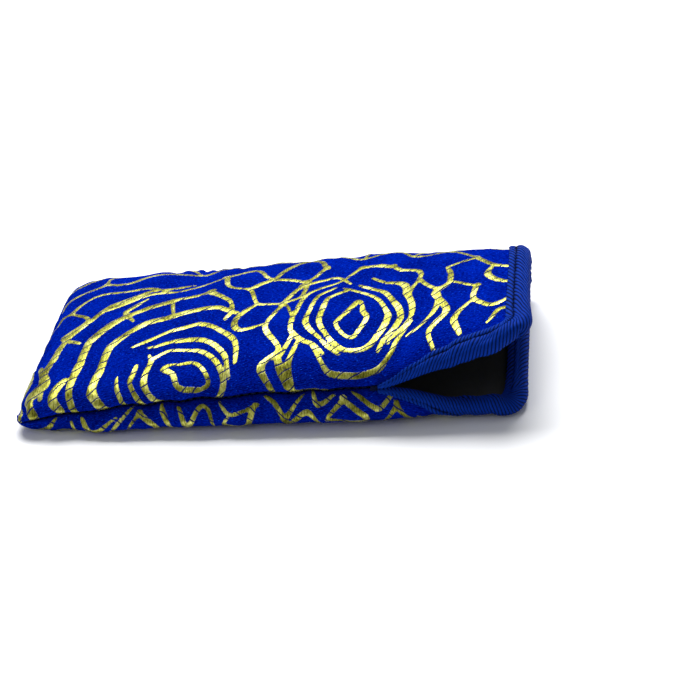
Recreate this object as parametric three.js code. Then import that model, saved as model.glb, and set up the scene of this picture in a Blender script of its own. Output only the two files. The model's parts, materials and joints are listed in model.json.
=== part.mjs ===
// Soft slip-in pouch for spectacles: a padded sheet folded at the closed end, sewn along both long sides, with a
// slit at the front of the mouth and a twill tape bound over every raw edge of the mouth and the slit.
//
// Millimetres, +Z up. The pouch lies on its back on the plane z = 0. +X runs from the closed end to the mouth,
// -Y is the front side, where the slit is, and the origin is under the middle of the pouch's box.
//
// Every layer is an offset of one surface, shellPoint(run, q). The run is the distance along the folded sheet,
// from the mouth of the lower wall (negative) round the fold at 0 to the mouth of the upper wall (positive).
// q goes from 0 at the front seam to 1 at the back seam.
import * as THREE from "three";

// ---- driving dimensions -----------------------------------------------------------------------------------
const LENGTH = 172; // closed end to mouth
const BASE_HALF_WIDTH = 45.5; // seam to seam at the closed end, halved
const MOUTH_HALF_WIDTH = 38.5; // seam to seam at the mouth, halved
const SLIT_LENGTH = 48.5; // how far the front seam stops short of the mouth
const SEAM_HEIGHT_BASE = 4.2; // side seams above the table at the fold
const SEAM_HEIGHT_GAIN = 10.9; // how much they climb towards the mouth
const SEAM_CLIMB = 55;
const CROWN_BASE = 10; // top of the upper wall above the table at the fold
const CROWN_GAIN = 19; // how much it climbs to the mouth
const FOLD_RADIUS = 9; // round of the folded end
const CORNER_RADIUS = 4.5; // plan rounding of the closed end's corners
const SIDE_BULGE = 4; // how far the upper wall's curve is drawn outside the pulled-in seams
const LOWER_BULGE = { fold: 10, slit: 13.2, grows: 10 }; // and the lower wall's, which hangs out under them
const MOUTH_LIFT = 2.3; // the lower wall rises off the table by this, onto its tape
const FLAT_SINK = 0.8; // how much of the lower wall's belly the table flattens
const LIFTED_CORNER = { inset: 5, height: 32 }; // front corner of the raised upper lip
const LOWER_CORNER = { spread: 1.5, height: 4.3 }; // front corner of the lower lip
const LIP_OVERHANG = 0.76; // how far its tape leans out past the mouth
const UPPER_CORNER_RADIUS = 8.5;
const LOWER_CORNER_RADIUS = 12;

// Layers, as depths below the outer face.
const BROCADE = [0, 0.5];
const PADDING = [0.85, 1.95];
const LINING = [2.3, 2.7];
const SEAM_GAP = 0.3; // between the upper and lower edges along a seam

// Binding tape, folded over the walls' edges.
const TAPE_WIDTH = 6.8; // on each face
const TAPE_THICKNESS = 0.8;
const TAPE_CLEARANCE = 0.44; // to the wall it covers
const TAPE_REACH = 1.4; // how far its fold stands past the wall's edge
const THREAD_RADIUS = 0.25;
const THREAD_GAP = 0.26; // between the topstitching and the tape under it
const TOPSTITCH_INSET = 2.2; // from the tape's inner edge
const BAR_TACK = { length: 4, width: 1.6, height: 3, standOff: 1.9 };

// The raised lip bends along a line from the slit's end to the back of the mouth.
const BEND_FRONT_RUN = 4.5; // where the line starts, past the slit's end
const BEND_SQUARE = 0.1; // the share of the width where it is square to the slit
const BEND_BACK = { q: 0.86, shy: 6 }; // where it stops, short of the mouth
const BEND_GAP = 2.2; // clearance on each side of the line

const originX = (LENGTH + LIP_OVERHANG) / 2;
const slitRun = LENGTH - SLIT_LENGTH;
const foldArc = (FOLD_RADIUS * Math.PI) / 2;

// ---- curves and the shell's surface -----------------------------------------------------------------------
const clamp01 = (t) => Math.min(1, Math.max(0, t));
const mix = (a, b, t) => a + (b - a) * t;
const smooth = (t) => t * t * (3 - 2 * t);

const seamHeight = (s) => SEAM_HEIGHT_BASE + SEAM_HEIGHT_GAIN * (1 - Math.exp(-s / SEAM_CLIMB));
const crownHeight = (s) => CROWN_BASE + CROWN_GAIN * Math.sqrt(Math.max(s, 0) / LENGTH);

// Half of the seam-to-seam width at a distance s from the closed end.
function halfWidth(s) {
  const taper = mix(BASE_HALF_WIDTH, MOUTH_HALF_WIDTH, s / LENGTH);
  const past = clamp01(1 - s / CORNER_RADIUS);
  return taper - CORNER_RADIUS * (1 - Math.sqrt(1 - past * past));
}

// How far the mouth is open at s: 0 up to the slit's end, 1 at the mouth.
const openness = (s) => clamp01((s - slitRun) / SLIT_LENGTH);

// Two cubic Beziers from the front edge over the crown, or under the belly, to the back seam.
function upperControls(s) {
  const h = halfWidth(s);
  const seam = seamHeight(s);
  const crown = crownHeight(s);
  const rise = crown - seam;
  const u = openness(s);
  const m = smooth(u);
  const front = [-h + LIFTED_CORNER.inset * u ** 1.5, mix(seam, LIFTED_CORNER.height, u ** 1.15)];
  const top = [0, crown + 1.2 * m];
  const tilt = -0.04 * m; // the open lip falls towards the back
  const fuller = mix(0.62, 1, smooth(clamp01((s - 60) / 70))) - 0.3 * smooth(clamp01((s - 152) / 20));
  return [
    front,
    [mix(front[0] - SIDE_BULGE, front[0] + 0.35 * h, m), mix(front[1] + 0.6 * rise, front[1] + 0.4, m)],
    [top[0] - mix(0.62, 0.4, m) * h, top[1] - tilt * 0.4 * h],
    top,
    [top[0] + 0.68 * h, top[1] + tilt * 0.68 * h],
    [h + SIDE_BULGE, seam + fuller * rise],
    [h, seam],
  ];
}

function lowerControls(s) {
  const h = halfWidth(s);
  const seam = seamHeight(s);
  const u = openness(s);
  const front = [-h - LOWER_CORNER.spread * u, mix(seam, LOWER_CORNER.height, smooth(clamp01(u * 1.15)))];
  const bulge = mix(LOWER_BULGE.fold, LOWER_BULGE.slit, s / slitRun) * clamp01(s / LOWER_BULGE.grows);
  const lift = (MOUTH_LIFT + FLAT_SINK) * smooth(clamp01((s - LENGTH + 24) / 14));
  const belly = lift - FLAT_SINK;
  return [
    front,
    [mix(front[0] - bulge, front[0] - 1, u), Math.max(0.15 * front[1], belly)],
    [-mix(0.86, 0.78, u) * h, belly],
    [0, belly],
    [0.86 * h, belly],
    [h + bulge, Math.max(0.15 * seam, belly)],
    [h, seam],
  ];
}

function bezier(a, b, c, d, t) {
  const r = 1 - t;
  return [0, 1].map((k) => r ** 3 * a[k] + 3 * r * r * t * b[k] + 3 * r * t * t * c[k] + t ** 3 * d[k]);
}

// A section as points at equal steps of its own length.
const SECTION_STEPS = 160;
const sections = new Map();
function section(s, upper) {
  const key = `${upper}:${s.toFixed(4)}`;
  if (sections.has(key)) return sections.get(key);
  const c = upper ? upperControls(s) : lowerControls(s);
  const points = [];
  for (let i = 0; i <= SECTION_STEPS; i++) {
    const t = (2 * i) / SECTION_STEPS;
    points.push(t <= 1 ? bezier(c[0], c[1], c[2], c[3], t) : bezier(c[3], c[4], c[5], c[6], t - 1));
  }
  const along = [0];
  for (let i = 1; i < points.length; i++)
    along.push(along[i - 1] + Math.hypot(points[i][0] - points[i - 1][0], points[i][1] - points[i - 1][1]));
  const made = { points, along, length: along[along.length - 1] };
  sections.set(key, made);
  return made;
}

function onSection(s, upper, q) {
  const { points, along, length } = section(s, upper);
  const target = q * length;
  let i = 1;
  while (i < along.length - 1 && along[i] < target) i++;
  const t = (target - along[i - 1]) / (along[i] - along[i - 1]);
  return [mix(points[i - 1][0], points[i][0], t), mix(points[i - 1][1], points[i][1], t)];
}

// The distance from the closed end, and how far the two walls have parted, at a run along the sheet.
function runState(run) {
  const r = Math.abs(run);
  if (r >= foldArc) return { s: FOLD_RADIUS + r - foldArc, parted: 1 };
  const angle = r / FOLD_RADIUS;
  return { s: FOLD_RADIUS * (1 - Math.cos(angle)), parted: Math.sin(angle) };
}
const runAt = (s) => s - FOLD_RADIUS + foldArc; // of a place beyond the fold's round
const runEnd = runAt(LENGTH);

function shellPoint(run, q) {
  const { s, parted } = runState(run);
  const upper = run >= 0;
  const seam = seamHeight(s);
  const [y, z] = onSection(s, upper, q);
  const flatY = mix(-halfWidth(s), halfWidth(s), q);
  const gap = ((upper ? 1 : -1) * SEAM_GAP) / 2;
  const height = seam + parted * (z - seam + gap);
  return new THREE.Vector3(s - originX, mix(flatY, y, parted), upper ? height : Math.max(0, height));
}

const DIFFERENCE = { run: 0.4, q: 0.004 };
function shellNormal(run, q) {
  const side = run >= 0 ? 1 : -1;
  const clampRun = (r) => (Math.abs(run) < foldArc ? r : side * Math.min(Math.abs(r), runEnd));
  const runStep = DIFFERENCE.run;
  const q0 = Math.max(0, q - DIFFERENCE.q);
  const q1 = Math.min(1, q + DIFFERENCE.q);
  const alongRun = shellPoint(clampRun(run + runStep), q).sub(shellPoint(clampRun(run - runStep), q));
  const acrossWall = shellPoint(run, q1).sub(shellPoint(run, q0));
  return alongRun.cross(acrossWall).normalize();
}

// A point of the shell at a depth below its outer face; a negative depth stands proud of it.
function layerPoint(run, q, depth) {
  return shellPoint(run, q).addScaledVector(shellNormal(run, q), -depth);
}

// ---- solids -----------------------------------------------------------------------------------------------
// Turns a closed geometry the right way round if its volume comes out negative.
function facingOut(geometry) {
  const p = geometry.getAttribute("position");
  const index = geometry.getIndex().array;
  const corner = (i) => new THREE.Vector3().fromBufferAttribute(p, index[i]);
  let volume = 0;
  for (let i = 0; i < index.length; i += 3) volume += corner(i).dot(corner(i + 1).cross(corner(i + 2)));
  if (volume < 0) geometry.setIndex([...index].reverse());
  geometry.computeVertexNormals();
  return geometry;
}

// The closed solid between two faces, each given as rows of points, with a rim joining their edges.
function solidBetween(outer, inner) {
  const rows = outer.length;
  const columns = outer[0].length;
  const positions = [outer, inner].flatMap((face) => face.flat().flatMap((p) => p.toArray()));
  const offset = rows * columns;
  const at = (i, j) => i * columns + j;
  const index = [];
  const quad = (a, b, c, d) => index.push(a, b, c, a, c, d);
  for (let i = 0; i + 1 < rows; i++)
    for (let j = 0; j + 1 < columns; j++) {
      const corners = [at(i, j), at(i + 1, j), at(i + 1, j + 1), at(i, j + 1)];
      quad(...corners);
      quad(...corners.map((k) => k + offset).reverse());
    }
  const rim = [];
  for (let i = 0; i < rows; i++) rim.push(at(i, 0));
  for (let j = 1; j < columns; j++) rim.push(at(rows - 1, j));
  for (let i = rows - 2; i >= 0; i--) rim.push(at(i, columns - 1));
  for (let j = columns - 2; j > 0; j--) rim.push(at(0, j));
  rim.forEach((a, k) => {
    const b = rim[(k + 1) % rim.length];
    quad(b, a, a + offset, b + offset);
  });
  const geometry = new THREE.BufferGeometry();
  geometry.setAttribute("position", new THREE.Float32BufferAttribute(positions, 3));
  geometry.setIndex(index);
  return facingOut(geometry);
}

// One layer of a wall: a grid of places, each [run, q], given thickness between two depths. The tuck keeps an
// inner layer's side edges short of the seams, and further short of them at the fold's corners.
function layerSolid(grid, [outerDepth, innerDepth], tuck = 0) {
  const place = ([run, q]) => {
    const short = tuck * (1 + 6 * clamp01(1 - Math.abs(run) / 45));
    return [run, mix(short, 1 - short, q)];
  };
  const face = (depth) => grid.map((row) => row.map(place).map(([run, q]) => layerPoint(run, q, depth)));
  return solidBetween(face(outerDepth), face(innerDepth));
}

// ---- where each wall starts and stops ---------------------------------------------------------------------
// Shares of the width, close together where the walls turn over beside the seams.
const nearSeam = [0, 0.013, 0.028, 0.045, 0.063, 0.082, 0.103, 0.126, 0.155, 0.2, 0.27, 0.38];
const columnShares = [...nearSeam, 0.5, ...nearSeam.map((share) => 1 - share).reverse()];
const columnsBetween = (low, high) => columnShares.map((share) => mix(low, high, share));

const wallLength = LENGTH - TAPE_REACH;
const slitShare = (s) => smooth(clamp01((s - slitRun + 1) / 2)); // the walls step back under the tape there

// The front edge of a wall as a share of its width: on the seam, then under the tape, then round the corner.
function frontShare(s, radius, upper) {
  const wallRadius = radius - TAPE_REACH;
  const past = clamp01((s - wallLength + wallRadius) / wallRadius);
  const edge = TAPE_REACH * slitShare(s) + wallRadius * (1 - Math.sqrt(1 - past * past));
  return edge / section(s, upper).length;
}

// The bend line, as a distance from the closed end at each share of the width.
function bendAt(q) {
  const start = slitRun + BEND_FRONT_RUN;
  const t = clamp01((q - BEND_SQUARE) / (BEND_BACK.q - BEND_SQUARE));
  return mix(start, LENGTH - BEND_BACK.shy, t);
}

// Distances from the closed end of the rows, close together at the fold and near the mouth's corners.
const foldRuns = [0, 0.17, 0.34, 0.5, 0.67, 0.84, 1].map((t) => t * foldArc);
const bodyRows = [15, 27, 43, 63, 90, slitRun - 1].map(runAt);
const lowerRows = [...foldRuns, ...bodyRows, ...[124.5, 131, 138, 144, 150, 155.5, 160, 164, 167.2, 169.2, wallLength].map(runAt)];
const UPPER_FIXED_ROWS = 5; // from the slit's end to the bend

function foldedGrid() {
  const lower = lowerRows.slice(1).reverse().map((run) => {
    const { s } = runState(run);
    return columnsBetween(frontShare(s, LOWER_CORNER_RADIUS, false), 1).map((q) => [-run, q]);
  });
  const upper = [...foldRuns, ...bodyRows].map((run) => columnsBetween(0, 1).map((q) => [run, q]));
  const last = bodyRows[bodyRows.length - 1];
  for (let i = 1; i <= UPPER_FIXED_ROWS; i++)
    upper.push(
      columnsBetween(0, 1).map((q) => {
        const stop = q > BEND_BACK.q + 0.01 ? wallLength : bendAt(q) - BEND_GAP;
        const run = mix(last, runAt(stop), i / UPPER_FIXED_ROWS);
        const edge = frontShare(runState(run).s, UPPER_CORNER_RADIUS, true);
        return [run, Math.max(q, edge + q * (1 - edge))];
      }),
    );
  return [...lower, ...upper];
}

const LIP_ROWS = 10;
const LIP_BACK = BEND_BACK.q - 0.035;
function lipGrid() {
  const grid = [];
  for (let i = 0; i <= LIP_ROWS; i++) {
    const t = Math.sin((i / LIP_ROWS) * (Math.PI / 2)); // closer together towards the mouth
    grid.push(
      columnShares
        .filter((_, j) => j % 2 === 0 || j < 8)
        .map((share) => {
          const q = share * LIP_BACK;
          const s = mix(bendAt(q) + BEND_GAP, wallLength, t);
          const edge = frontShare(s, UPPER_CORNER_RADIUS, true);
          return [runAt(s), mix(edge, LIP_BACK, share)];
        }),
    );
  }
  return grid;
}

// ---- the tape and the threads -----------------------------------------------------------------------------
// The bound edge of a wall in its flat pattern: each place has its position and the direction into the wall.
function boundEdge(radius, upper, { from = slitRun + 1, to = 1, mouthFrom = null, across = 14 } = {}) {
  const edge = [];
  const straight = 7;
  const round = 7;
  if (mouthFrom === null) {
    for (let i = 0; i < straight; i++)
      edge.push({ s: mix(from, LENGTH - radius, i / straight), w: 0, into: [0, 1] });
    for (let i = 0; i < round; i++) {
      const a = ((i / round) * Math.PI) / 2;
      const s = LENGTH - radius + radius * Math.sin(a);
      edge.push({ s, w: radius * (1 - Math.cos(a)), into: [-Math.sin(a), Math.cos(a)] });
    }
  }
  const width = section(LENGTH, upper).length;
  const first = mouthFrom === null ? radius : mouthFrom * width;
  for (let i = 0; i <= across; i++) {
    const share = i / across;
    const w = mix(first, to * width, mix(share, Math.sin((share * Math.PI) / 2), 0.6)); // closer at the back
    edge.push({ s: LENGTH, w, into: [-1, 0] });
  }
  return edge;
}

// A point at a distance inside the bound edge, at a depth below the wall's outer face.
function besideEdge({ s, w, into }, inside, depth, upper) {
  const at = Math.min(s + into[0] * inside, LENGTH);
  const q = clamp01((w + into[1] * inside) / section(at, upper).length);
  const run = runAt(at);
  return layerPoint(upper ? run : -run, q, depth);
}

const wallDepth = LINING[1];
const tapeOuter = -(TAPE_CLEARANCE + TAPE_THICKNESS);
const tapeInner = wallDepth + TAPE_CLEARANCE + TAPE_THICKNESS;

// The folded tape's two faces in section, as [distance inside the edge, depth]: over the outside of the wall,
// round its edge, and back along the inside.
const hollow = TAPE_REACH - TAPE_CLEARANCE;
const across = [1, 0.8, 0.6, 0.42, 0.26].map((share) => share * TAPE_WIDTH);
const tapeOutside = [
  ...across.map((inside) => [inside, tapeOuter]),
  [1.2, tapeOuter],
  [0.35, mix(tapeOuter, 0, 0.55)],
  [0, wallDepth / 2],
  [0.35, mix(tapeInner, wallDepth, 0.55)],
  [1.2, tapeInner],
  ...across.map((inside) => [inside, tapeInner]).reverse(),
];
const tapeInside = [
  ...across.map((inside) => [inside, -TAPE_CLEARANCE]),
  [hollow + 0.4, -TAPE_CLEARANCE],
  [hollow, -TAPE_CLEARANCE],
  [hollow, wallDepth / 2],
  [hollow, wallDepth + TAPE_CLEARANCE],
  [hollow + 0.4, wallDepth + TAPE_CLEARANCE],
  ...across.map((inside) => [inside, wallDepth + TAPE_CLEARANCE]).reverse(),
];

function tapeSolid(edge, upper) {
  const face = (profile) =>
    edge.map((place) => profile.map(([inside, depth]) => besideEdge(place, inside, depth, upper)));
  return solidBetween(face(tapeOutside), face(tapeInside));
}

// A round thread along a line of points.
const THREAD_SIDES = 5;
function threadSolid(points) {
  const path = new THREE.CatmullRomCurve3(points);
  const shape = new THREE.Shape();
  for (let i = 0; i < THREAD_SIDES; i++) {
    const a = (2 * Math.PI * i) / THREAD_SIDES;
    const draw = i === 0 ? "moveTo" : "lineTo";
    shape[draw](THREAD_RADIUS * Math.cos(a), THREAD_RADIUS * Math.sin(a));
  }
  shape.closePath();
  return new THREE.ExtrudeGeometry(shape, { steps: Math.round(1.5 * points.length), extrudePath: path, bevelEnabled: false });
}

function topstitch(edge, upper) {
  const depth = tapeOuter - THREAD_GAP - THREAD_RADIUS;
  return threadSolid(edge.map((place) => besideEdge(place, TAPE_WIDTH - TOPSTITCH_INSET, depth, upper)));
}

// The thread that closes a side seam, lying in the groove between the two walls.
const GROOVE_STAND_OFF = 0.75;
function seamThread(side, from, to) {
  const steps = 22;
  const points = [];
  for (let i = 0; i <= steps; i++) {
    const s = mix(from, to, i / steps);
    points.push(new THREE.Vector3(s - originX, side * (halfWidth(s) + GROOVE_STAND_OFF), seamHeight(s)));
  }
  return threadSolid(points);
}

// ---- the assembly -----------------------------------------------------------------------------------------
const cloth = (color, roughness, metalness = 0) =>
  new THREE.MeshStandardMaterial({ color, roughness, metalness, side: THREE.DoubleSide });
const materials = {
  brocade: cloth(0x0a1cb4, 0.55, 0.1),
  padding: cloth(0xd9d4c6, 0.95),
  lining: cloth(0x08080a, 0.95),
  tape: cloth(0x0a2a86, 0.7),
  thread: cloth(0x071a5c, 0.6),
};

const pouch = new THREE.Group();
function add(name, geometry, material) {
  const mesh = new THREE.Mesh(geometry, material);
  mesh.name = name;
  pouch.add(mesh);
  return mesh;
}

const folded = foldedGrid();
add("brocade_sheet", layerSolid(folded, BROCADE), materials.brocade);
add("padding_sheet", layerSolid(folded, PADDING, 0.008), materials.padding);
add("lining_sheet", layerSolid(folded, LINING, 0.016), materials.lining);

const lip = lipGrid();
add("brocade_upper_lip", layerSolid(lip, BROCADE), materials.brocade);
add("padding_upper_lip", layerSolid(lip, PADDING), materials.padding);
add("lining_upper_lip", layerSolid(lip, LINING), materials.lining);

const lowerEdge = boundEdge(LOWER_CORNER_RADIUS, false, { to: 0.985 });
const lipEdge = boundEdge(UPPER_CORNER_RADIUS, true, { from: bendAt(0) + BEND_GAP, to: LIP_BACK });
const cornerEdge = boundEdge(0, true, { mouthFrom: BEND_BACK.q + 0.025, to: 0.985, across: 5 });
add("lower_lip_binding", tapeSolid(lowerEdge, false), materials.tape);
add("upper_lip_binding", tapeSolid(lipEdge, true), materials.tape);
add("back_corner_binding", tapeSolid(cornerEdge, true), materials.tape);
add("lower_binding_thread", topstitch(lowerEdge.slice(1, -1), false), materials.thread);
add("upper_binding_thread", topstitch(lipEdge.slice(1, -1), true), materials.thread);

const seamStart = CORNER_RADIUS + 2;
add("front_seam_thread", seamThread(-1, seamStart, slitRun - BAR_TACK.length), materials.thread);
add("back_seam_thread", seamThread(1, seamStart, wallLength - TAPE_WIDTH), materials.thread);

const tack = add(
  "slit_bar_tack",
  new THREE.BoxGeometry(BAR_TACK.length, BAR_TACK.width, BAR_TACK.height),
  materials.thread,
);
tack.position.set(
  slitRun - BAR_TACK.length / 2 - originX,
  -halfWidth(slitRun) - BAR_TACK.width / 2 - BAR_TACK.standOff,
  seamHeight(slitRun),
);

export default pouch;
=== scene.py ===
"""A soft slip-in glasses pouch: blue brocade with gold outline figures over thin padding, a black lining,
twill tape round the mouth and the slit beside it, and its rows of stitches. All of the cloth is laid over one
surface, which Wall works out in millimetres and keeps as a table for the upper and the lower wall."""

import json
import math

import bmesh
import bpy
import numpy as np
from mathutils import Matrix, Vector
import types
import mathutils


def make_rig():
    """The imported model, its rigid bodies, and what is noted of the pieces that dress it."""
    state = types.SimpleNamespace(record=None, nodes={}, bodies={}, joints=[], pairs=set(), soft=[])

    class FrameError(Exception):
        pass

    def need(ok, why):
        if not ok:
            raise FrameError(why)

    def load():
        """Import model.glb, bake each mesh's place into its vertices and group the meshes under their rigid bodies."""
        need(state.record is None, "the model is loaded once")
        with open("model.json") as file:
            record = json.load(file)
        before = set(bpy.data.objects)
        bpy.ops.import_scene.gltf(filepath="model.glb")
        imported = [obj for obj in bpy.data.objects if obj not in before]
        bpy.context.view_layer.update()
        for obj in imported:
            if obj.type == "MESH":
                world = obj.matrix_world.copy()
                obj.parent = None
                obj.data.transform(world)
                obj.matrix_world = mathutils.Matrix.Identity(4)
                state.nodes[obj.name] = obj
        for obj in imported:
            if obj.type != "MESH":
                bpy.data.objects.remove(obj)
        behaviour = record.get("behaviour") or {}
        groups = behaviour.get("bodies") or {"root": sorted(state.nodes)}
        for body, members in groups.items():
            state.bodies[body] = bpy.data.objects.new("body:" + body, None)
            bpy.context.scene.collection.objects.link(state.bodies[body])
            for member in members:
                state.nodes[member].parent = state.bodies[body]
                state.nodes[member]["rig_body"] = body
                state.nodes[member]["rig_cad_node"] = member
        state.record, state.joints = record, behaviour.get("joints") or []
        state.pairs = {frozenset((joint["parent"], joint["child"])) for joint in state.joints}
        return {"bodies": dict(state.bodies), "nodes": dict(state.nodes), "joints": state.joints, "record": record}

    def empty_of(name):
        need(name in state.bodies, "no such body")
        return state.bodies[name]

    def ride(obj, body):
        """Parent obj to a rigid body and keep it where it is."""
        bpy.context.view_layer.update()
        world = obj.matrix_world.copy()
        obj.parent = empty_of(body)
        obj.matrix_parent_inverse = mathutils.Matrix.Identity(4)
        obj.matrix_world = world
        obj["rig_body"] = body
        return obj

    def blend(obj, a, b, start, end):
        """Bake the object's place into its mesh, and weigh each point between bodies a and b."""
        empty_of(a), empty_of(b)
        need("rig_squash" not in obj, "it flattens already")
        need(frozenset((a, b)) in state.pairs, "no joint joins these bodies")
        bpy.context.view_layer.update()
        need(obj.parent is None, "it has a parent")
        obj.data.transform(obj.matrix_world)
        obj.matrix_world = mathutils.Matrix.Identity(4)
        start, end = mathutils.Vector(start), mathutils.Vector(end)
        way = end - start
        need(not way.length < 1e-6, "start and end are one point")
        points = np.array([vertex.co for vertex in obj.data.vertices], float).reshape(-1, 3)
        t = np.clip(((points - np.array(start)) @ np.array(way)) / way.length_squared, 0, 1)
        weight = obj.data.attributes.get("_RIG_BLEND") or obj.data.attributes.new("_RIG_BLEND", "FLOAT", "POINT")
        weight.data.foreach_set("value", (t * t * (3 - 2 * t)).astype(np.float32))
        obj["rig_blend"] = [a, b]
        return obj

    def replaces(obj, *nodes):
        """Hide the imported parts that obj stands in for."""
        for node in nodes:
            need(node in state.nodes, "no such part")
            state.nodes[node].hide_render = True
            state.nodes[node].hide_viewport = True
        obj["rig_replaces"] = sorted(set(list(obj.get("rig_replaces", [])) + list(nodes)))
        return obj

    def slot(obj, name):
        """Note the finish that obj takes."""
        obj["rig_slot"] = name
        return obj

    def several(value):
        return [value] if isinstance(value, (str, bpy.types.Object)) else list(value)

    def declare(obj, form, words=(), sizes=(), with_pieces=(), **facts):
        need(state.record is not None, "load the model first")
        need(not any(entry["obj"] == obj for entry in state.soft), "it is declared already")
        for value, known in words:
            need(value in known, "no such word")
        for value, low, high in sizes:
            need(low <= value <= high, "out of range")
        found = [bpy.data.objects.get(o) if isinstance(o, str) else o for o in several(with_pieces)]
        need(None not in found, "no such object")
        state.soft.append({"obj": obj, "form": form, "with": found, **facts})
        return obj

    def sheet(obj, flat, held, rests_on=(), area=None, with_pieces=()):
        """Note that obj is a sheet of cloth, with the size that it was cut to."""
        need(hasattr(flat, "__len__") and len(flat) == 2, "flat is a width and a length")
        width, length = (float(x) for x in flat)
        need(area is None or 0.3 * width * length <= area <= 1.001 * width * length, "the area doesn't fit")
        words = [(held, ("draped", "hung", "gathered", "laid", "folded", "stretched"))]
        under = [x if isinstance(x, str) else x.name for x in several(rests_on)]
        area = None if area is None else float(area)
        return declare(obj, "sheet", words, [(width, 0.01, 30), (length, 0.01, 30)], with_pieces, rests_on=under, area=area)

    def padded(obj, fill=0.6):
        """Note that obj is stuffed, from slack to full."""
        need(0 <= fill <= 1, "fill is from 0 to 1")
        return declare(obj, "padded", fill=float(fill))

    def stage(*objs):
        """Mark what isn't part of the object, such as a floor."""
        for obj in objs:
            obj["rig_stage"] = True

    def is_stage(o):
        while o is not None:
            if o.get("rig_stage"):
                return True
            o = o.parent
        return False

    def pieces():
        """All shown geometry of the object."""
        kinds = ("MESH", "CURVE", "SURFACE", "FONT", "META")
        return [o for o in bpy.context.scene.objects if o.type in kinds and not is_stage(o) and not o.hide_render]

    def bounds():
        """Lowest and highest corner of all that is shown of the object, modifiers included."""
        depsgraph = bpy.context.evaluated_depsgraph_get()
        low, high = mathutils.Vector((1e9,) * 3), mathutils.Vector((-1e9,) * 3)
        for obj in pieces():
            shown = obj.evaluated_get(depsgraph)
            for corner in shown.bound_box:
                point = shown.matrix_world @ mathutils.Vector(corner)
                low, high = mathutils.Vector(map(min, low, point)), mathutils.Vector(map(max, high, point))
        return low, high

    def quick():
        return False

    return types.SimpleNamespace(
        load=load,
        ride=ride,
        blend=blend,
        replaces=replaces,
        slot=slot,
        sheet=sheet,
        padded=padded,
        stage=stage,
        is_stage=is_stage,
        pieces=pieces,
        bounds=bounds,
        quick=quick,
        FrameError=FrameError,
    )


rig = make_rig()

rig.load()
CAD_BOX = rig.bounds()
MM = 0.001
FINE = 1.0 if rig.quick() else 0.8  # millimetres between the brocade's points

# ---- sizes, in millimetres ----
LENGTH = 172.0  # closed end to mouth
ORIGIN_X = 86.38  # from the closed end to the middle of the pouch's box
BASE_HALF_WIDTH = 45.5
MOUTH_HALF_WIDTH = 38.5
SLIT_START = 123.5  # where the front seam stops, from the closed end
SEAM_HEIGHT = (4.2, 10.9, 55.0)  # at the fold, how much it climbs, and over what length
SEAM_WANDER = 0.42  # how far the gathered seam strays up and down
CROWN = (10.0, 19.0)  # at the fold, and how much it climbs to the mouth
FOLD_RADIUS = 9.0  # seen from the side, at the closed end
CORNER_RADIUS = 4.5  # seen from above, at the closed end
MOUTH_LIFT = 2.3  # the lower wall's middle over the table, at the mouth
FLAT_SINK = 0.8  # how far the table flattens the rest of it
LIFTED_CORNER = (5.0, 32.0)  # the upper lip's front corner: how far in, and how high
LOWER_CORNER = (1.5, 4.3)  # the lower lip's front corner: how far out, and how high
UPPER_CORNER_RADIUS = 8.5
LOWER_CORNER_RADIUS = 12.0
MOUTH_SKEW = (0.0, -0.8, 1.6)  # how far the mouth stands out: upper front, lower front, back
FOLD_ARC = FOLD_RADIUS * math.pi / 2
RUN_END = LENGTH - FOLD_RADIUS + FOLD_ARC  # the length of each wall along the cloth

WALL_DEPTH = 2.7  # brocade, padding and lining together
BROCADE_THICK = 0.45
PADDING_DEPTH, PADDING_THICK = 0.75, 1.3
LINING_DEPTH, LINING_THICK = 2.3, 0.4
PADDING_END, LINING_END = 4.0, 1.6  # how far inside the tape's fold they stop
PADDING_SIDE = 3.2  # and how far inside the seams the padding does
CORNER_INSET = 4.5  # how much further both do at the closed corners
TURN_IN = 1.6  # how much brocade turns in at a seam
RELIEF = 0.26  # how far the gold stands proud
TIE_SPACING = 4.3  # between the fine lines that tie the gold yarn down

SEAM_GAP = (0.15, 0.01)  # from the seam to either wall, at the front and at the back
SEAM_DRAW = 0.8  # how far the stitches pull the two long edges in
PUCKER = 0.5  # how high the small waves beside the seams stand
PUCKER_PITCH = 8.5
PUCKER_CREST = 4.5  # in from the seam
PUCKER_REACH = 5.5
SWELL = 0.4  # how high the broad waves in the middle stand

TAPE_WIDTH = 6.8  # on either side of its fold
TAPE_REACH = 1.4  # how far inside the tape's fold the brocade stops
TAPE_CLEAR = 0.12
TAPE_THICK = 0.75
TAPE_SHELL = 0.6  # added on the outer side
TAPE_NOSE = 1.9  # how far the fold stands out past the legs
TAPE_LEG = TAPE_WIDTH - 1.5  # the flat part of the tape, beside the fold
TAPE_HALF = WALL_DEPTH / 2 + TAPE_CLEAR + TAPE_THICK
TAPE_BEND = math.pi * 0.5 * (TAPE_HALF + TAPE_NOSE)
TAPE_AROUND = TAPE_LEG * 2 + TAPE_BEND
TAPE_CELLS = 470, 64  # along and around
STITCH_INSET = 2.3  # from the tape's inner edge
RIB_SPACING = 1.07
RIB_LEAN = 0.6, 2.3  # along the slit and across the mouth
RIB_LIFT = 0.07
THREAD_RADIUS = 0.3


def smooth(t):
    t = np.clip(t, 0.0, 1.0)
    return t * t * (3.0 - 2.0 * t)


def mix(a, b, t):
    return a + (b - a) * t


# ---- the surface of the two walls ----
def seam_height(s):
    """The height of both side seams over the table."""
    low, gain, climb = SEAM_HEIGHT
    held = smooth((s - 4) / 20) * smooth((SLIT_START - 4 - s) / 20)
    wander = math.sin(s / 2.5 + 1.4 * math.sin(s / 8.5)) * SEAM_WANDER * held
    return low + gain * (1 - math.exp(-s / climb)) + wander


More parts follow.
